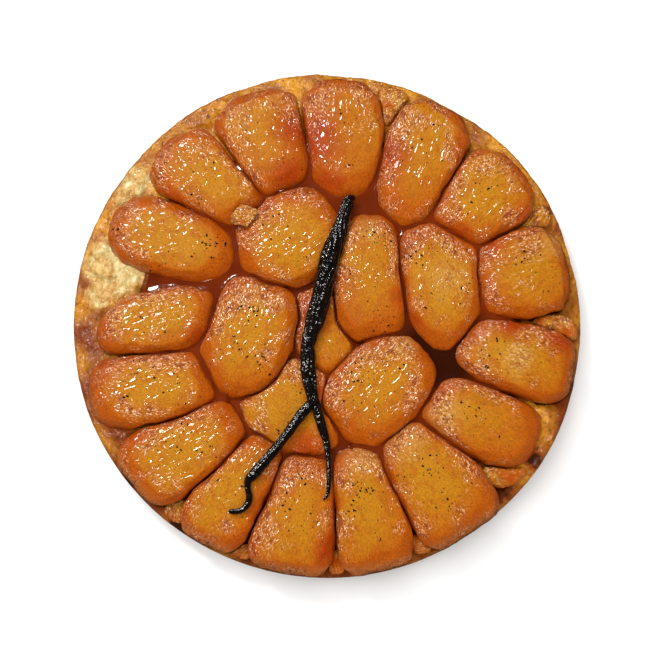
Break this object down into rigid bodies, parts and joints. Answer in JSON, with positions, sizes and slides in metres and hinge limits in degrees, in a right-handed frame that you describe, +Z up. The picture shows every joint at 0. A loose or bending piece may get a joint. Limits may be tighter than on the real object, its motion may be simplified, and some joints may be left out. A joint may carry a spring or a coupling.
{
  "type": "tarte tatin",
  "caption": "Round caramelised apple tart, a flat pastry base with a low rim under pressed apple slices in two rings, and a split vanilla pod on top.",
  "frame": {"origin": "centre of the tart's underside, on the surface it stands on", "axes": "+Z up out of the apples; +Y towards the thin end of the vanilla pod; +X to the right of it"},
  "size_m": [0.24, 0.24, 0.0369],
  "materials": {
    "apple": "soft cooked apple with a wet caramel glaze, ochre on top to brown-orange at the sides",
    "crust": "baked golden pastry, caramelised and glossy where the juice soaked it",
    "vanilla": "black wrinkled leathery pod with an oily sheen"
  },
  "bodies": {
    "root": {"pastry": "crust", "slice_outer_01": "apple", "slice_outer_02": "apple", "slice_outer_03": "apple", "slice_outer_04": "apple", "slice_outer_05": "apple", "slice_outer_06": "apple", "slice_outer_07": "apple", "slice_outer_08": "apple", "slice_outer_09": "apple", "slice_outer_10": "apple", "slice_outer_11": "apple", "slice_outer_12": "apple", "slice_outer_13": "apple", "slice_outer_14": "apple", "slice_outer_15": "apple", "slice_outer_16": "apple", "slice_inner_01": "apple", "slice_inner_02": "apple", "slice_inner_03": "apple", "slice_inner_04": "apple", "slice_inner_05": "apple", "slice_inner_06": "apple", "slice_inner_07": "apple", "apple_bit_01": "apple", "apple_bit_02": "apple", "apple_bit_03": "apple", "apple_bit_04": "apple", "apple_bit_05": "apple", "apple_bit_06": "apple", "apple_bit_07": "apple", "apple_bit_08": "apple", "apple_bit_09": "apple", "vanilla_pod": "vanilla"}
  },
  "joints": []
}
